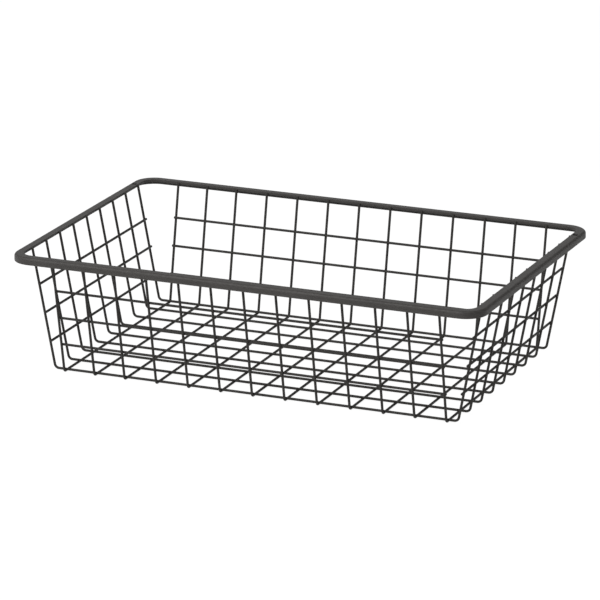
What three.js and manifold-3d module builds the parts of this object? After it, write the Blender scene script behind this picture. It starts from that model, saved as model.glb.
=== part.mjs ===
// Wire storage basket: two layers of bent steel wire, three rails on each wall and a folded sheet rim.
// Millimetres, +Z up. The origin is on the surface that the basket stands on, under its middle.
import * as THREE from 'three';
import { mergeVertices } from 'three/addons/utils/BufferGeometryUtils.js';
import Module from 'manifold-3d';

const wasm = await Module();
wasm.setup();

// Rim: outer size in plan, height of its top, and the folded section
const rimLength = 600;
const rimDepth = 387.6;
const rimTopHeight = 151;
const rimCornerRadius = 27;
const rimWidth = 11.8;
const rimSheet = 1.5;
const rimEdgeRadius = 3.6;
const skirtHeight = 8.9;
const lipHeight = 3.2;

// Slots through the rim's top, one on each side: middle from the back face, outer end from the side face
const slotFromBack = 42.2;
const slotFromSide = 4;
const slotLength = 5.6;
const slotWidth = 4;

// Wire: one gauge throughout, with the film of weld between touching wires
const wireDiameter = 2.6;
const weldGap = 0.3;

// Cross wires: evenly spaced over the middle, a little closer at both ends
const crossMiddleCount = 9;
const crossMiddlePitch = 41.5;
const crossEndCount = 2;
const crossEndPitch = 39.85;
const crossBendRadius = 4.2;
const crossCornerReach = 3.4;

// Long wires
const longCount = 9;
const longPitch = 37.5;
const longBendRadius = 5.5;
const longCornerReach = 13.4;

// Wall rails and the upper ends of the wall wires
const railCount = 3;
const railFirstHeight = 37;
const railPitch = 35;
const railOverhang = 0.5;
const wireEndSetback = 1.3;

// Facets: sides of a wire, steps in a bend, steps in a rim corner and over its rounded edge
const wireSides = 8;
const bendSteps = 5;
const cornerSteps = 8;
const edgeSteps = 4;

const rimColour = 0x53504e;
const wireColour = 0x282624;

// Wires have a flat side towards their neighbours, so their thickness is the distance across flats
const wireThickness = wireDiameter * Math.cos(Math.PI / wireSides);
const layerStep = wireThickness + weldGap;
const crossFloorHeight = wireThickness / 2;
const longFloorHeight = crossFloorHeight + layerStep;
const wireTopHeight = rimTopHeight - wireEndSetback;
const rimInset = rimWidth + weldGap + wireThickness / 2;

const crossPlaces = crossPositions();
const longPlaces = evenPositions(longCount, longPitch);

// Slope of one pair of opposite walls: the wires lean from the floor corner out to the rim's inner lip
const crossWall = wallSlope(Math.max(...longPlaces) + crossCornerReach, crossFloorHeight, rimDepth);
const longWall = wallSlope(Math.max(...crossPlaces) + longCornerReach, longFloorHeight, rimLength);

const wireSection = regularSection(wireSides, wireDiameter / 2);

function evenPositions(count, pitch) {
  return Array.from({ length: count }, (_, i) => (i - (count - 1) / 2) * pitch);
}

function crossPositions() {
  const middle = evenPositions(crossMiddleCount, crossMiddlePitch);
  const last = middle[middle.length - 1];
  const ends = Array.from({ length: crossEndCount }, (_, i) => last + (i + 1) * crossEndPitch);
  return [...ends.map((x) => -x).reverse(), ...middle, ...ends];
}

function wallSlope(cornerReach, floorHeight, rimOuterSize) {
  const topReach = rimOuterSize / 2 - rimInset;
  const lean = Math.atan2(topReach - cornerReach, wireTopHeight - floorHeight);
  return { cornerReach, floorHeight, topReach, lean };
}

function regularSection(sides, radius) {
  const points = Array.from({ length: sides }, (_, i) => {
    const angle = ((i + 0.5) * 2 * Math.PI) / sides;
    return new THREE.Vector2(radius * Math.cos(angle), radius * Math.sin(angle));
  });
  return new THREE.Shape(points);
}

// Centreline of a bent wire: straight runs with an arc at each inner corner. Its even steps fall on
// the ends of the straight runs and on the steps of the arcs.
class BentLine extends THREE.Curve {
  constructor(corners, radius) {
    super();
    const last = corners.length - 1;
    const runs = corners.slice(1).map((corner, i) => corner.clone().sub(corners[i]).normalize());
    this.stations = [{ point: corners[0], tangent: runs[0] }];
    for (let i = 1; i < last; i += 1) {
      this.stations.push(...arcStations(corners[i], runs[i - 1], runs[i], radius));
    }
    this.stations.push({ point: corners[last], tangent: runs[last - 1] });
  }

  station(u) {
    return this.stations[Math.round(u * (this.stations.length - 1))];
  }

  getPointAt(u) {
    return this.station(u).point.clone();
  }

  getTangentAt(u) {
    return this.station(u).tangent.clone();
  }
}

function arcStations(corner, arriving, leaving, radius) {
  const turn = arriving.angleTo(leaving);
  const start = corner.clone().addScaledVector(arriving, -radius * Math.tan(turn / 2));
  const inward = leaving.clone().addScaledVector(arriving, -Math.cos(turn)).normalize();
  return Array.from({ length: bendSteps + 1 }, (_, i) => {
    const angle = (turn * i) / bendSteps;
    const along = radius * Math.sin(angle);
    const across = radius * (1 - Math.cos(angle));
    const point = start.clone().addScaledVector(arriving, along).addScaledVector(inward, across);
    const tangent = arriving.clone().multiplyScalar(Math.cos(angle));
    return { point, tangent: tangent.addScaledVector(inward, Math.sin(angle)) };
  });
}

// One bent wire, drawn across the basket along Y: down one wall, over the floor and up the other
function bentWireGeometry(wall, radius) {
  const corners = [
    new THREE.Vector3(0, -wall.topReach, wireTopHeight),
    new THREE.Vector3(0, -wall.cornerReach, wall.floorHeight),
    new THREE.Vector3(0, wall.cornerReach, wall.floorHeight),
    new THREE.Vector3(0, wall.topReach, wireTopHeight),
  ];
  const line = new BentLine(corners, radius);
  const steps = line.stations.length - 1;
  return new THREE.ExtrudeGeometry(wireSection, { steps, extrudePath: line, bevelEnabled: false });
}

// One straight rail, drawn along X
function railGeometry(length) {
  const geometry = new THREE.ExtrudeGeometry(wireSection, { depth: length, bevelEnabled: false });
  geometry.translate(0, 0, -length / 2);
  geometry.rotateY(Math.PI / 2);
  return geometry;
}

function toSolid(geometry) {
  const bare = geometry.clone();
  bare.deleteAttribute('normal');
  bare.deleteAttribute('uv');
  const merged = mergeVertices(bare);
  const vertProperties = new Float32Array(merged.attributes.position.array);
  const triVerts = new Uint32Array(merged.index.array);
  return new wasm.Manifold(new wasm.Mesh({ numProp: 3, vertProperties, triVerts }));
}

function toGeometry(solid) {
  const mesh = solid.getMesh();
  const geometry = new THREE.BufferGeometry();
  geometry.setAttribute('position', new THREE.BufferAttribute(mesh.vertProperties, 3));
  geometry.setIndex(new THREE.BufferAttribute(mesh.triVerts, 1));
  geometry.computeVertexNormals();
  return geometry;
}

function roundedRectangle(length, depth, radius) {
  const x = length / 2 - radius;
  const y = depth / 2 - radius;
  const shape = new THREE.Shape();
  shape.absarc(x, y, radius, 0, Math.PI / 2);
  shape.absarc(-x, y, radius, Math.PI / 2, Math.PI);
  shape.absarc(-x, -y, radius, Math.PI, 1.5 * Math.PI);
  shape.absarc(x, -y, radius, 1.5 * Math.PI, 2 * Math.PI);
  return shape;
}

// A solid slab in the rim's plan, set in from its outer face, with an optional rounded top edge
function rimSlab(inset, bottom, top, edgeRadius = 0) {
  const plan = roundedRectangle(rimLength - 2 * inset, rimDepth - 2 * inset, rimCornerRadius - inset);
  const geometry = new THREE.ExtrudeGeometry(plan, {
    depth: top - bottom,
    curveSegments: cornerSteps,
    bevelEnabled: edgeRadius > 0,
    bevelThickness: edgeRadius,
    bevelSize: edgeRadius,
    bevelOffset: -edgeRadius,
    bevelSegments: edgeSteps,
  });
  geometry.translate(0, 0, bottom - edgeRadius);
  return toSolid(geometry);
}

// The space of one slot: it passes through the top sheet into the channel below
function slotSpace(side) {
  const x = side * (rimLength / 2 - slotFromSide - slotLength / 2);
  const y = rimDepth / 2 - slotFromBack;
  const block = new THREE.BoxGeometry(slotLength, slotWidth, 3 * rimSheet);
  block.translate(x, y, rimTopHeight);
  return toSolid(block);
}

// Rim: a folded sheet with its outer skirt, rounded top edge, flat top with two slots and short inner lip
function rimGeometry() {
  const skirtBottom = rimTopHeight - skirtHeight;
  const lipBottom = rimTopHeight - lipHeight;
  const below = skirtBottom - skirtHeight;
  const above = rimTopHeight + skirtHeight;
  const sheet = rimSlab(0, below, rimTopHeight, rimEdgeRadius);
  const body = sheet.intersect(rimSlab(-rimWidth, skirtBottom, above));
  const lip = rimSlab(rimWidth - rimSheet, lipBottom, above);
  const hollow = rimSlab(rimSheet, below, rimTopHeight - rimSheet, rimEdgeRadius - rimSheet).subtract(lip);
  const opening = rimSlab(rimWidth, below, above);
  const folded = body.subtract(hollow).subtract(opening);
  return toGeometry(folded.subtract(slotSpace(-1)).subtract(slotSpace(1)));
}

function coatedSteel(color) {
  return new THREE.MeshStandardMaterial({ color, roughness: 0.5, metalness: 0.1 });
}

function namedMesh(name, geometry, color) {
  const mesh = new THREE.Mesh(geometry, coatedSteel(color));
  mesh.name = name;
  return mesh;
}

function twoDigits(number) {
  return String(number).padStart(2, '0');
}

// A frame that lies in one wall: X along the wall, Y into the basket, Z up the slope
function wallFrame(wall, yaw) {
  const turned = new THREE.Group();
  turned.rotation.z = yaw;
  const leaning = new THREE.Group();
  leaning.position.set(0, -wall.cornerReach, wall.floorHeight);
  leaning.rotation.x = wall.lean;
  turned.add(leaning);
  basket.add(turned);
  return leaning;
}

function addRails(side, wall, yaw, uprights) {
  const frame = wallFrame(wall, yaw);
  const length = 2 * (Math.max(...uprights) + wireDiameter / 2 + railOverhang);
  for (let i = 0; i < railCount; i += 1) {
    const rise = railFirstHeight + i * railPitch - wall.floorHeight - layerStep * Math.sin(wall.lean);
    const rail = namedMesh(`${side}_rail_${i + 1}`, railGeometry(length), wireColour);
    rail.position.set(0, layerStep, rise / Math.cos(wall.lean));
    frame.add(rail);
  }
}

const basket = new THREE.Group();

basket.add(namedMesh('rim', rimGeometry(), rimColour));

crossPlaces.forEach((x, i) => {
  const geometry = bentWireGeometry(crossWall, crossBendRadius);
  const wire = namedMesh(`cross_wire_${twoDigits(i + 1)}`, geometry, wireColour);
  wire.position.x = x;
  basket.add(wire);
});

longPlaces.forEach((y, i) => {
  const geometry = bentWireGeometry(longWall, longBendRadius);
  const wire = namedMesh(`long_wire_${twoDigits(i + 1)}`, geometry, wireColour);
  wire.rotation.z = Math.PI / 2;
  wire.position.y = y;
  basket.add(wire);
});

addRails('front', crossWall, 0, crossPlaces);
addRails('right', longWall, Math.PI / 2, longPlaces);
addRails('back', crossWall, Math.PI, crossPlaces);
addRails('left', longWall, 1.5 * Math.PI, longPlaces);

export default basket;
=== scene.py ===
import math

import bpy
import numpy as np
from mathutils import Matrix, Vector


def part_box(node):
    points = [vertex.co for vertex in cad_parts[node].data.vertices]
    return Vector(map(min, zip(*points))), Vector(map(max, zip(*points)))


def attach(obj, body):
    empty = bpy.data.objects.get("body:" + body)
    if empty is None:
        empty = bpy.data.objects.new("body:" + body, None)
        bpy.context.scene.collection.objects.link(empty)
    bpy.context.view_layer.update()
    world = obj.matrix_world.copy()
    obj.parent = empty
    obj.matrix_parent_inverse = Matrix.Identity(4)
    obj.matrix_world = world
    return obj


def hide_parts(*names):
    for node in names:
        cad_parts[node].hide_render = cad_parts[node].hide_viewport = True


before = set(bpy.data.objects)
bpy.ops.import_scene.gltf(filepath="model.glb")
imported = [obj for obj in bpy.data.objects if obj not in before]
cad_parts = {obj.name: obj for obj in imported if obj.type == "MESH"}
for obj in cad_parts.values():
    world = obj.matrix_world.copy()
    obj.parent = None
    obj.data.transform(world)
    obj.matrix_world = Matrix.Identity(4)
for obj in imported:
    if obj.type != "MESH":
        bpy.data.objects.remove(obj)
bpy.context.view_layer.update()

rimLow, rimHigh = (np.array(corner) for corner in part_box("rim"))
print("frame:", len(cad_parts), "nodes,", np.round((rimHigh - rimLow) * 1000, 1), "mm rim")


# Camera: degrees, metres, and millimetres for the lens and its sensor
viewpoint = {
    "azimuth": 22.86,
    "elevation": 17.14,
    "distance": 5.390,
    "target": (-0.0033, 0.0, 0.0763),
    "lens": 268.04,
    "sensor": 36.0,
    "clipEnd": 200.0,
}


def makeCamera():
    turn = math.radians(viewpoint["azimuth"])
    rise = math.radians(viewpoint["elevation"])
    back = Vector((math.sin(turn) * math.cos(rise), -math.cos(turn) * math.cos(rise), math.sin(rise)))
    data = bpy.data.cameras.new("viewCamera")
    data.lens = viewpoint["lens"]
    data.sensor_width = viewpoint["sensor"]
    data.clip_end = viewpoint["clipEnd"]
    camera = bpy.data.objects.new("viewCamera", data)
    camera.location = Vector(viewpoint["target"]) + back * viewpoint["distance"]
    camera.rotation_euler = back.to_track_quat("Z", "Y").to_euler()
    bpy.context.scene.collection.objects.link(camera)
    bpy.context.scene.camera = camera


makeCamera()
bpy.context.scene.view_settings.view_transform = "Standard"
print("camera set")


# Node helpers: a node with its values, a link, a sum or other operation, a change of range and a blend
def addNode(tree, kind, values=None, **settings):
    node = tree.nodes.new(kind)
    for key, value in settings.items():
        setattr(node, key, value)
    for key, value in (values or {}).items():
        node.inputs[key].default_value = value
    return node


def join(tree, source, target):
    tree.links.new(source, target)


def addMath(tree, operation, first, second):
    node = addNode(tree, "ShaderNodeMath", operation=operation)
    for socket, value in zip(node.inputs, (first, second)):
        if isinstance(value, bpy.types.NodeSocket):
            join(tree, value, socket)
        else:
            socket.default_value = value
    return node.outputs[0]


def addRange(tree, source, fromRange, toRange):
    node = addNode(tree, "ShaderNodeMapRange", {
        "From Min": fromRange[0], "From Max": fromRange[1], "To Min": toRange[0], "To Max": toRange[1],
    })
    join(tree, source, node.inputs["Value"])
    return node.outputs["Result"]


def addBlend(tree, factor, first, second):
    node = addNode(tree, "ShaderNodeMix", data_type="RGBA")
    sockets = {socket.identifier: socket for socket in (*node.inputs, *node.outputs)}
    join(tree, factor, sockets["Factor_Float"])
    join(tree, first, sockets["A_Color"])
    join(tree, second, sockets["B_Color"])
    return sockets["Result_Color"]


# Stage: a wide pale floor that stays white for the camera and keeps a faint shadow, with sizes in metres.
# The world's light falls from the horizon's strength to the ceiling's, between two heights of its sphere.
stage = {
    "floorSize": 60.0,
    "floorHeight": -0.0002,
    "floorColour": (0.86, 0.86, 0.86, 1.0),
    "floorRoughness": (0.85, 0.95),
    "grainScale": 300.0,
    "grainDetail": 2.0,
    "shadowColour": (0.10, 0.10, 0.10, 1.0),
    "shownWhite": 0.95,
    "worldColour": (1.0, 1.0, 1.0, 1.0),
    "ceilingFrom": (0.05, 0.15),
    "horizonToCeiling": (1.0, 0.27),
}


# 1 for rays that should see the white floor: camera, glossy and transmission rays. 0 for all others.
def whiteForView(tree):
    path = addNode(tree, "ShaderNodeLightPath")
    shown = addMath(tree, "ADD", path.outputs["Is Camera Ray"], path.outputs["Is Glossy Ray"])
    return addMath(tree, "ADD", shown, path.outputs["Is Transmission Ray"])


def makeWorld():
    world = bpy.data.worlds.new("studioWorld")
    bpy.context.scene.world = world
    world.use_nodes = True
    tree = world.node_tree
    tree.nodes.clear()
    coords = addNode(tree, "ShaderNodeTexCoord")
    height = addNode(tree, "ShaderNodeSeparateXYZ")
    join(tree, coords.outputs["Generated"], height.inputs[0])
    strength = addRange(tree, height.outputs["Z"], stage["ceilingFrom"], stage["horizonToCeiling"])
    light = addNode(tree, "ShaderNodeBackground", {"Color": stage["worldColour"]})
    join(tree, strength, light.inputs["Strength"])
    output = addNode(tree, "ShaderNodeOutputWorld")
    join(tree, light.outputs[0], output.inputs["Surface"])


def makePaper():
    material = bpy.data.materials.new("floorPaper")
    material.use_nodes = True
    tree = material.node_tree
    tree.nodes.clear()
    coords = addNode(tree, "ShaderNodeTexCoord")
    grain = addNode(tree, "ShaderNodeTexNoise", {
        "Scale": stage["grainScale"], "Detail": stage["grainDetail"],
    })
    join(tree, coords.outputs["Object"], grain.inputs["Vector"])
    paper = addNode(tree, "ShaderNodeBsdfPrincipled", {
        "Base Color": stage["floorColour"], "Specular IOR Level": 0.0,
    })
    roughness = addRange(tree, grain.outputs[0], (0.0, 1.0), stage["floorRoughness"])
    join(tree, roughness, paper.inputs["Roughness"])
    white = addNode(tree, "ShaderNodeEmission", {"Strength": stage["shownWhite"]})
    shadow = addNode(tree, "ShaderNodeBsdfDiffuse", {"Color": stage["shadowColour"]})
    shown = addNode(tree, "ShaderNodeAddShader")
    join(tree, white.outputs[0], shown.inputs[0])
    join(tree, shadow.outputs[0], shown.inputs[1])
    mixed = addNode(tree, "ShaderNodeMixShader")
    join(tree, whiteForView(tree), mixed.inputs[0])
    join(tree, paper.outputs[0], mixed.inputs[1])
    join(tree, shown.outputs[0], mixed.inputs[2])
    output = addNode(tree, "ShaderNodeOutputMaterial")
    join(tree, mixed.outputs[0], output.inputs["Surface"])
    return material


def makeFloor():
    half = stage["floorSize"] / 2
    corners = [(-half, -half), (half, -half), (half, half), (-half, half)]
    mesh = bpy.data.meshes.new("studioFloor")
    mesh.from_pydata([(x, y, stage["floorHeight"]) for x, y in corners], [], [(0, 1, 2, 3)])
    mesh.materials.append(makePaper())
    floor = bpy.data.objects.new("studioFloor", mesh)
    bpy.context.scene.collection.objects.link(floor)


# Lamps: soft boxes with place, aim and size in metres and power in watts
lamps = {
    "frontBox": {
        "place": (-1.15, -2.05, 2.65), "aim": (0.0, 0.0, 0.1), "size": (3.4, 2.6), "power": 122.0,
    },
    "backPanel": {
        "place": (-0.9, 2.4, 1.35), "aim": (0.0, 0.0, 0.15), "size": (2.2, 2.0), "power": 6.2,
    },
}


def makeLamps():
    for name, lamp in lamps.items():
        data = bpy.data.lights.new(name, "AREA")
        data.shape = "RECTANGLE"
        data.size, data.size_y = lamp["size"]
        data.energy = lamp["power"]
        box = bpy.data.objects.new(name, data)
        box.location = lamp["place"]
        box.visible_camera = False
        away = Vector(lamp["place"]) - Vector(lamp["aim"])
        box.rotation_euler = away.to_track_quat("Z", "Y").to_euler()
        bpy.context.scene.collection.objects.link(box)


makeWorld()
makeFloor()
makeLamps()
print("stage and lamps set")


# Powder coat, shared by the sheet and the wire. Object coordinates in metres drive it: a fine orange
# peel, a finer grit, slow clouds of tone, pale specks, rub marks where the rub attribute is high, and
# painted shade, a dark coat inside the slots where the sunk attribute is high. A noise has its scale and
# detail, a range is the part of the noise that counts, and shares are amounts of the full effect.
coatTexture = {
    "peelNoise": (900.0, 2.0),
    "gritNoise": (4200.0, 1.0),
    "gritShare": 0.3,
    "cloudNoise": (34.0, 3.0),
    "cloudRange": (0.3, 0.7),
    "toneDrift": (0.92, 1.08),
    "roughnessDrift": (-0.05, 0.05),
    "speckNoise": (1500.0, 0.0),
    "speckRange": (0.74, 0.82),
    "speckShare": 0.5,
    "rubNoise": (210.0, 3.0),
    "rubRange": (0.42, 0.62),
    "rubShare": 0.7,
    "rubPolish": 0.14,
    # Painted shade: the coat's tone inside the slots, as a share of its full tone
    "slotPaintedShade": 0.06,
    "sunkDull": 0.5,
}


def makeCoatGroup():
    group = bpy.data.node_groups.new("powderCoat", "ShaderNodeTree")
    sockets = group.interface
    sockets.new_socket("Coat", in_out="INPUT", socket_type="NodeSocketColor")
    sockets.new_socket("Worn", in_out="INPUT", socket_type="NodeSocketColor")
    sockets.new_socket("Base Roughness", in_out="INPUT", socket_type="NodeSocketFloat")
    sockets.new_socket("Colour", in_out="OUTPUT", socket_type="NodeSocketColor")
    sockets.new_socket("Roughness", in_out="OUTPUT", socket_type="NodeSocketFloat")
    sockets.new_socket("Height", in_out="OUTPUT", socket_type="NodeSocketFloat")
    given = addNode(group, "NodeGroupInput")
    made = addNode(group, "NodeGroupOutput")
    coords = addNode(group, "ShaderNodeTexCoord")

    def noise(key):
        scale, detail = coatTexture[key]
        node = addNode(group, "ShaderNodeTexNoise", {"Scale": scale, "Detail": detail})
        join(group, coords.outputs["Object"], node.inputs["Vector"])
        return node.outputs[0]

    def mark(name):
        return addNode(group, "ShaderNodeAttribute", attribute_name=name).outputs["Fac"]

    def share(value, key):
        return addMath(group, "MULTIPLY", value, coatTexture[key])

    cloud = noise("cloudNoise")
    sunk = mark("sunk")
    speck = addRange(group, noise("speckNoise"), coatTexture["speckRange"], (0.0, 1.0))
    patchy = addRange(group, noise("rubNoise"), coatTexture["rubRange"], (0.0, 1.0))
    rub = addMath(group, "MULTIPLY", mark("rub"), patchy)

    # Colour: the coat's tone drifts, painted shade darkens it in slots, and the worn colour shows in specks
    # and rub marks
    drift = addRange(group, cloud, coatTexture["cloudRange"], coatTexture["toneDrift"])
    # Painted shade: the tone falls to the slot share where the sunk attribute is set
    shade = addRange(group, sunk, (0.0, 1.0), (1.0, coatTexture["slotPaintedShade"]))
    tone = addNode(group, "ShaderNodeHueSaturation")
    join(group, given.outputs["Coat"], tone.inputs["Color"])
    join(group, addMath(group, "MULTIPLY", drift, shade), tone.inputs["Value"])
    wear = addMath(group, "MAXIMUM", share(speck, "speckShare"), share(rub, "rubShare"))
    colour = addBlend(group, wear, tone.outputs["Color"], given.outputs["Worn"])
    join(group, colour, made.inputs["Colour"])

    # Roughness: it drifts with the tone, rub marks are polished and slots are dull
    roughDrift = addRange(group, cloud, coatTexture["cloudRange"], coatTexture["roughnessDrift"])
    roughness = addMath(group, "ADD", given.outputs["Base Roughness"], roughDrift)
    roughness = addMath(group, "SUBTRACT", roughness, share(rub, "rubPolish"))
    roughness = addMath(group, "ADD", roughness, share(sunk, "sunkDull"))
    join(group, roughness, made.inputs["Roughness"])

    # Height: the peel with some grit on it
    height = addMath(group, "ADD", noise("peelNoise"), share(noise("gritNoise"), "gritShare"))
    join(group, height, made.inputs["Height"])
    return group


coatGroup = makeCoatGroup()

# The rim's coat and a darker copy of it for the wires as painted shade: linear colours, roughness, and the
# depth of the orange peel in metres
coats = {
    "rimCoat": {
        "coat": (0.0520, 0.0490, 0.0467, 1.0), "worn": (0.105, 0.100, 0.096, 1.0),
        "roughness": 0.50, "specular": 0.155, "peelDepth": 0.00010, "peelStrength": 0.8,
    },
    # Painted shade: the wires have the rim's coat, and this copy of it is darker
    "shadedWireCoat": {
        "coat": (0.0342, 0.0322, 0.0301, 1.0), "worn": (0.080, 0.076, 0.072, 1.0),
        "roughness": 0.48, "specular": 0.11, "peelDepth": 0.00008, "peelStrength": 0.7,
    },
}


def makeCoat(name):
    values = coats[name]
    material = bpy.data.materials.new(name)
    material.use_nodes = True
    tree = material.node_tree
    tree.nodes.clear()
    coat = addNode(tree, "ShaderNodeGroup", {
        "Coat": values["coat"], "Worn": values["worn"], "Base Roughness": values["roughness"],
    }, node_tree=coatGroup)
    bump = addNode(tree, "ShaderNodeBump", {
        "Strength": values["peelStrength"], "Distance": values["peelDepth"],
    })
    surface = addNode(tree, "ShaderNodeBsdfPrincipled", {
        "Metallic": 0.0, "Specular IOR Level": values["specular"],
    })
    output = addNode(tree, "ShaderNodeOutputMaterial")
    join(tree, coat.outputs["Height"], bump.inputs["Height"])
    join(tree, coat.outputs["Colour"], surface.inputs["Base Color"])
    join(tree, coat.outputs["Roughness"], surface.inputs["Roughness"])
    join(tree, bump.outputs["Normal"], surface.inputs["Normal"])
    join(tree, surface.outputs[0], output.inputs["Surface"])
    return material


rimCoat = makeCoat("rimCoat")
shadedWireCoat = makeCoat("shadedWireCoat")
print("coats made")


# Quads of a grid of rows by columns: columns close round the section, rows close if the path is a ring
def gridQuads(rows, columns, ring=False):
    row = np.arange(rows if ring else rows - 1)[:, None]
    column = np.arange(columns)[None, :]
    nextRow = (row + 1) % rows
    nextColumn = (column + 1) % columns
    corners = (row * columns + column, row * columns + nextColumn,
               nextRow * columns + nextColumn, nextRow * columns + column)
    return np.stack(np.broadcast_arrays(*corners), axis=-1).reshape(-1, 4)


# A mesh from a grid of points, with a flat cap on each open end and a rub value at each point
def gridPiece(name, grid, rub, material, ring=False):
    rows, columns = grid.shape[:2]
    faces = gridQuads(rows, columns, ring).tolist()
    if not ring:
        first = np.arange(columns)
        faces += [first[::-1].tolist(), (first + (rows - 1) * columns).tolist()]
    return newPiece(name, grid.reshape(-1, 3), faces, np.broadcast_to(rub, (rows, columns)), material)


def markPoints(mesh, name, values):
    mark = mesh.attributes.new(name, "FLOAT", "POINT")
    mark.data.foreach_set("value", np.ascontiguousarray(values, dtype=np.float32).ravel())


def newPiece(name, points, faces, rub, material):
    mesh = bpy.data.meshes.new(name)
    mesh.from_pydata(points.tolist(), [], faces)
    mesh.polygons.foreach_set("use_smooth", np.ones(len(mesh.polygons), dtype=bool))
    markPoints(mesh, "rub", rub)
    mesh.materials.append(material)
    mesh.update()
    piece = bpy.data.objects.new(name, mesh)
    bpy.context.scene.collection.objects.link(piece)
    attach(piece, "root")
    return piece


# Rim: a folded sheet with an outer skirt, a rounded shoulder, a flat top and a short inner lip, metres. A
# rub has its strength and the distance over which it fades.
rim = {
    "width": 0.0118,
    "sheet": 0.0015,
    "shoulder": 0.0036,
    "innerBend": 0.0004,
    "skirt": 0.0089,
    "lip": 0.0032,
    "edge": 0.00045,
    "cornerRadius": 0.027,
    "shoulderRub": (0.35, 0.0016),
    "skirtRub": (0.9, 0.0009),
    "cornerSteps": 26,
    "straightSteps": 24,
    "skirtPoints": 3,
    "shoulderSteps": 12,
    "underSteps": 8,
    "innerSteps": 6,
    "edgeSteps": 3,
}

# A slot in the top of each side of the rim, near the back, metres: its middle from the back face, its
# outer end from the side face, its size along X and Y, its depth and the run of its steep walls, with the
# share of the depth at their rounded upper edge and the share from which the coat gets painted shade
slot = {
    "fromBack": 0.0422,
    "fromSide": 0.0040,
    "length": 0.0056,
    "width": 0.0040,
    "depth": 0.0014,
    "wall": 0.00015,
    "edgeShare": 0.08,
    "paintedShadeShare": 0.01,
}


# Points on an arc about a centre: centre + radius * (cos a, sin a), angles in degrees
def turnPoints(centre, radius, start, end, steps):
    angle = np.radians(np.linspace(start, end, steps + 1))
    return np.stack([centre[0] + radius * np.cos(angle), centre[1] + radius * np.sin(angle)], axis=-1)


# Ways in from the side face at which the slot's walls start and end
def slotColumns():
    wall, length = slot["wall"] * np.arange(3), slot["length"]
    return slot["fromSide"] + np.concatenate([-wall[::-1], [length / 2], length + wall])


# How far a point is sunk, 0 to 1, by its way from the slot's middle: a steep wall with a rounded edge
def sunkShare(way, size):
    return np.interp(way, size / 2 + slot["wall"] * np.arange(3), [1.0, slot["edgeShare"], 0.0])


# The folded section as a closed loop: first value is the way in from the outer face, second the height
# from the top. The list goes up the skirt, over the shoulder and the top, down the lip and back inside,
# and it is given in reverse, so that the faces along the outline point out.
def rimSection():
    width, sheet, edge = rim["width"], rim["sheet"], rim["edge"]
    shoulder, bend = rim["shoulder"], rim["innerBend"]
    skirt, lip = -rim["skirt"], -rim["lip"]
    edgeSteps = rim["edgeSteps"]
    skirtRun = np.linspace(skirt + 2 * edge, -shoulder - edge, rim["skirtPoints"])
    topRun = np.append(slotColumns(), width - bend - edge)
    return np.concatenate([
        turnPoints((edge, skirt + edge), edge, 270, 180, edgeSteps),
        np.stack([np.zeros_like(skirtRun), skirtRun], axis=-1),
        turnPoints((shoulder, -shoulder), shoulder, 180, 90, rim["shoulderSteps"]),
        np.stack([topRun, np.zeros_like(topRun)], axis=-1),
        turnPoints((width - bend, -bend), bend, 90, 0, rim["innerSteps"]),
        turnPoints((width - edge, lip + edge), edge, 0, -90, edgeSteps),
        turnPoints((width - sheet + edge, lip + edge), edge, 270, 180, edgeSteps),
        turnPoints((width - sheet - edge, -sheet - edge), edge, 0, 90, edgeSteps),
        turnPoints((shoulder, -shoulder), shoulder - sheet, 90, 180, rim["underSteps"]),
        turnPoints((sheet - edge, skirt + edge), edge, 0, -90, edgeSteps),
    ])[::-1]


# The rim's outline, the outer rectangle with rounded corners, as points with their outward normals. It goes
# round from the right end of the back, and the two sides have extra points at the walls of their slots.
def rimOutline(half, slotY):
    radius = rim["cornerRadius"]
    quarter = np.radians(np.linspace(0, 90, rim["cornerSteps"] + 1))
    even = np.linspace(0, 1, rim["straightSteps"] + 1)[1:-1]
    slotRows = slotY + (slot["width"] / 2 + slot["wall"] * np.arange(4)) * np.array([[-1], [1]])
    slotShare = (half[1] - radius - slotRows.ravel()) / (2 * (half[1] - radius))
    leftShare = np.sort(np.append(even, slotShare))
    rightShare = np.sort(np.append(even, 1 - slotShare))
    centres = (half - radius) * np.array([(1, 1), (-1, 1), (-1, -1), (1, -1)])
    following = np.roll(centres, -1, axis=0)
    places, normals = [], []
    for turn, share in enumerate((even, leftShare, even, rightShare)):
        angle = quarter + turn * np.pi / 2
        outward = np.stack([np.cos(angle), np.sin(angle)], axis=-1)
        bend = centres[turn] + radius * outward
        straight = bend[-1] + share[:, None] * (following[turn] - centres[turn])
        places += [bend, straight]
        normals += [outward, np.broadcast_to(outward[-1], straight.shape)]
    return np.concatenate(places), np.concatenate(normals)


# Rub value round the section: it is highest on the middle of the shoulder and on the skirt's lower edge,
# and it fades as strength * exp(-(distance / spread)^2)
def rimRub(section):
    shoulderMid = rim["shoulder"] * (1 - math.cos(math.pi / 4))
    toShoulder = np.hypot(section[:, 0] - shoulderMid, section[:, 1] + shoulderMid)
    toSkirt = np.hypot(section[:, 0] - rim["sheet"] / 2, section[:, 1] + rim["skirt"])
    fades = ((toShoulder, rim["shoulderRub"]), (toSkirt, rim["skirtRub"]))
    return sum(strength * np.exp(-(way / spread) ** 2) for way, (strength, spread) in fades)


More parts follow.
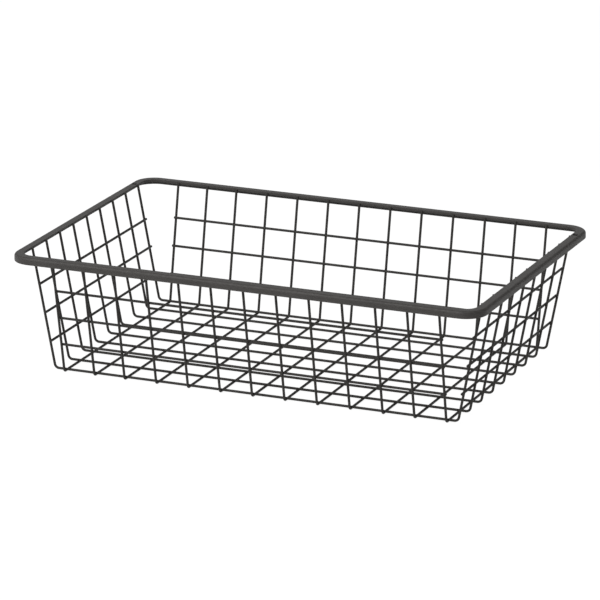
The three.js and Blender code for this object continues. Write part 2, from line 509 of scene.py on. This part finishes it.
# The rim's run: point(u, v) = outline(u) - in(v) * outward(u) + (height(v) - sunk(u, v)) * up
def makeRim():
    half = (rimHigh[:2] - rimLow[:2]) / 2
    slotY = half[1] - slot["fromBack"]
    place, outward = rimOutline(half, slotY)
    section = rimSection()
    flat = place[:, None, :] - section[None, :, :1] * outward[:, None, :]
    onSide = np.abs(outward[:, 0]) == 1
    alongSlot = np.where(onSide, sunkShare(np.abs(place[:, 1] - slotY), slot["width"]), 0)
    inSlot = np.abs(section[:, 0] - slot["fromSide"] - slot["length"] / 2)
    acrossSlot = np.where(section[:, 1] == 0, sunkShare(inSlot, slot["length"]), 0)
    sunk = np.minimum(alongSlot[:, None], acrossSlot[None, :])
    height = rimHigh[2] + section[None, :, 1] - slot["depth"] * sunk
    grid = np.concatenate([flat, height[..., None]], axis=-1)
    piece = gridPiece("foldedRim", grid, rimRub(section)[None, :], rimCoat, ring=True)
    # The sunk attribute marks the insides of the slots, where the coat gets painted shade
    markPoints(piece.data, "sunk", sunk > slot["paintedShadeShare"])
    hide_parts("rim")


makeRim()
print("rim made")


# Wires, metres: gauge, how far a welded wire is pressed into its neighbour and into the rim's lip, the
# rounded cut ends, bends, and the floor's corners, measured from the middle along Y for cross wires and
# along X for long wires. The underside is rubbed up to the rub height.
wire = {
    "radius": 0.00155,
    "pressed": 0.00125,
    "crossLip": 0.00115,
    "longLip": 0.00055,
    "endRound": 0.00045,
    "endSteps": 3,
    "endBelowRim": 0.0013,
    "rubHeight": 0.0006,
    "sides": 16,
    "crossCorner": 0.1534,
    "crossBend": 0.0042,
    "longCorner": 0.2591,
    "longBend": 0.0055,
    "bendSteps": 10,
}

alongX, alongY, up = np.eye(3)
lipFace = (rimHigh[:2] - rimLow[:2]) / 2 - rim["width"]
wireTop = rimHigh[2] - wire["endBelowRim"]


# Points and tangents of a centreline through corners, with an arc of the given radius at inner corners:
# a point on an arc is start + radius * (sin a * arriving + (1 - cos a) * inward)
def bentLine(corners, radius):
    runs = np.diff(corners, axis=0)
    runs /= np.linalg.norm(runs, axis=1, keepdims=True)
    points, tangents = [corners[:1]], [runs[:1]]
    for corner, arriving, leaving in zip(corners[1:-1], runs[:-1], runs[1:]):
        turn = math.acos(float(np.clip(arriving @ leaving, -1, 1)))
        angle = np.linspace(0, turn, wire["bendSteps"] + 1)[:, None]
        inward = (leaving - arriving * math.cos(turn)) / math.sin(turn)
        start = corner - arriving * radius * math.tan(turn / 2)
        points.append(start + radius * (np.sin(angle) * arriving + (1 - np.cos(angle)) * inward))
        tangents.append(np.cos(angle) * arriving + np.sin(angle) * inward)
    return np.concatenate([*points, corners[-1:]]), np.concatenate([*tangents, runs[-1:]])


# A round wire: point(u, v) = line(u) + radius(u) * (cos v * across(u) + sin v * side). Near both ends the
# radius is the gauge less e * (1 - cos f) while the line steps in by e * (1 - sin f), a rounded cut edge.
def roundWire(corners, bendRadius, side):
    line, tangent = bentLine(corners, bendRadius)
    e = wire["endRound"]
    f = np.radians(np.linspace(90, 0, wire["endSteps"] + 1))[:, None]
    startLine = line[0] + tangent[0] * e * (1 - np.sin(f))
    endLine = line[-1] - tangent[-1] * e * (1 - np.sin(f[::-1]))
    endRadius = wire["radius"] - e * (1 - np.cos(f[:, 0]))
    radius = np.concatenate([endRadius, np.full(len(line) - 2, wire["radius"]), endRadius[::-1]])
    line = np.concatenate([startLine, line[1:-1], endLine])
    startTangent = np.broadcast_to(tangent[0], startLine.shape)
    endTangent = np.broadcast_to(tangent[-1], endLine.shape)
    tangent = np.concatenate([startTangent, tangent[1:-1], endTangent])
    across = np.cross(np.broadcast_to(side, tangent.shape), tangent)
    v = np.linspace(0, 2 * np.pi, wire["sides"], endpoint=False)[None, :, None]
    ring = np.cos(v) * across[:, None, :] + np.sin(v) * side
    return line[:, None, :] + radius[:, None, None] * ring


# Rub value of a wire: 1 where it stands on a shelf, and 0 from the rub height up
def undersideRub(grid):
    return np.clip(1 - grid[..., 2] / wire["rubHeight"], 0, 1)


def bentCorners(along, place, cornerReach, topReach, floorHeight):
    reach = np.array([-topReach, -cornerReach, cornerReach, topReach])
    height = np.array([wireTop, floorHeight, floorHeight, wireTop])
    return place + reach[:, None] * along + height[:, None] * up


def makeWire(name, node, grid):
    piece = gridPiece(name, grid, undersideRub(grid), shadedWireCoat)
    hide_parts(node)


def nodesNamed(start):
    return sorted(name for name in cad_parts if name.startswith(start))


def nodeMiddle(node):
    return np.mean(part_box(node), axis=0)


crossNodes, longNodes = nodesNamed("cross_wire"), nodesNamed("long_wire")
crossX = np.array([nodeMiddle(node) @ alongX for node in crossNodes])
longY = np.array([nodeMiddle(node) @ alongY for node in longNodes])
weldStep = 2 * wire["radius"] - wire["pressed"]
crossFloor = wire["radius"]
longFloor = crossFloor + weldStep
crossTop = lipFace[1] - wire["radius"] + wire["crossLip"]
longTop = lipFace[0] - wire["radius"] + wire["longLip"]

for node, x in zip(crossNodes, crossX):
    corners = bentCorners(alongY, x * alongX, wire["crossCorner"], crossTop, crossFloor)
    makeWire("crossWire" + node[-2:], node, roundWire(corners, wire["crossBend"], alongX))
for node, y in zip(longNodes, longY):
    corners = bentCorners(alongX, y * alongY, wire["longCorner"], longTop, longFloor)
    makeWire("longWire" + node[-2:], node, roundWire(corners, wire["longBend"], alongY))
print("bent wires made:", len(crossNodes), "cross,", len(longNodes), "long")


# Welds, metres: small beads of metal under the coat where wires cross and where they meet the lip, with
# the share of the lip's height at which the beads sit there, and their rings' latitudes in degrees
weld = {
    "spread": 0.00160,
    "lipSpread": 0.00150,
    "thickness": 0.00070,
    "lipShare": 0.6,
    "latitudes": (-58.0, -20.0, 20.0, 58.0),
    "sides": 8,
}

# Wall rails: straight wires on the inside of the uprights. A wall is known by the way out of the basket, by
# the reach of the lip and by its uprights: their corner and top reach, floor height, places and the axis
# along which these are counted. A rail keeps the height and the length of its CAD node.
crossWall = {
    "corner": wire["crossCorner"], "top": crossTop, "lip": lipFace[1], "floor": crossFloor,
    "places": crossX, "axis": alongX,
}
longWall = {
    "corner": wire["longCorner"], "top": longTop, "lip": lipFace[0], "floor": longFloor,
    "places": longY, "axis": alongY,
}
walls = {
    "front": {"out": -alongY, **crossWall},
    "right": {"out": alongX, **longWall},
    "back": {"out": alongY, **crossWall},
    "left": {"out": -alongX, **longWall},
}
wireWelds, lipWelds = [], []


# Places for weld beads with the way through both pieces and one way along them
def weldSpots(spots, normal, side):
    return spots, np.broadcast_to(normal, spots.shape), np.broadcast_to(side, spots.shape)


def makeRails(side, wall):
    out, axis, places = wall["out"], wall["axis"], wall["places"]
    slope = out * (wall["top"] - wall["corner"]) + up * (wireTop - wall["floor"])
    slope /= np.linalg.norm(slope)
    inward = np.cross(slope, np.cross(up, out))
    inward *= -np.sign(inward @ out)
    railNodes = nodesNamed(side + "_rail")
    for node in railNodes:
        low, high = (np.array(corner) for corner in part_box(node))
        reach = (high - low) @ axis / 2
        rise = (nodeMiddle(node)[2] - wall["floor"] - inward[2] * weldStep) / slope[2]
        onUpright = out * wall["corner"] + up * wall["floor"] + slope * rise
        corners = onUpright + inward * weldStep + np.array([-reach, reach])[:, None] * axis
        makeWire(side + "Rail" + node[-1], node, roundWire(corners, 0.0, inward))
        spots = onUpright + inward * weldStep / 2 + places[:, None] * axis
        wireWelds.append(weldSpots(spots, inward, axis))
    onLip = out * wall["lip"] + up * (rimHigh[2] - rim["lip"] * weld["lipShare"])
    lipWelds.append(weldSpots(onLip + places[:, None] * axis, out, axis))
    print("rails made:", len(railNodes), "on the", side)


for side, wall in walls.items():
    makeRails(side, wall)


# Every bead is a flattened ball: centre + spread * cos a * (cos v * side + sin v * other)
# + thickness * sin a * normal, with rings at a few latitudes a and a flat on each pole
def makeWelds(name, places, spread, material):
    centres, normals, sides = (np.concatenate(values) for values in zip(*places))
    others = np.cross(normals, sides)
    rows, columns = len(weld["latitudes"]), weld["sides"]
    a = np.radians(weld["latitudes"])[:, None]
    v = np.linspace(0, 2 * np.pi, columns, endpoint=False)[None, :] + np.pi / columns
    local = np.stack([spread * np.cos(a) * np.cos(v), spread * np.cos(a) * np.sin(v),
                      weld["thickness"] * np.sin(a) * np.ones_like(v)], axis=-1).reshape(-1, 3)
    points = centres[:, None, :] + local @ np.stack([sides, others, normals], axis=1)
    pole = np.arange(columns)
    shift = (np.arange(len(centres)) * rows * columns)[:, None]
    faces = (gridQuads(rows, columns) + shift[..., None]).reshape(-1, 4).tolist()
    faces += (pole[::-1] + shift).tolist()
    faces += (pole + (rows - 1) * columns + shift).tolist()
    piece = newPiece(name, points.reshape(-1, 3), faces, np.zeros(points.shape[:2]), material)
    print("welds made:", len(centres), "in", name)


floorX, floorY = (values.ravel() for values in np.meshgrid(crossX, longY))
floorSpots = np.stack([floorX, floorY, np.full(floorX.shape, crossFloor + weldStep / 2)], axis=-1)
wireWelds.append(weldSpots(floorSpots, up, alongX))
makeWelds("wireWelds", wireWelds, weld["spread"], shadedWireCoat)
makeWelds("lipWelds", lipWelds, weld["lipSpread"], rimCoat)
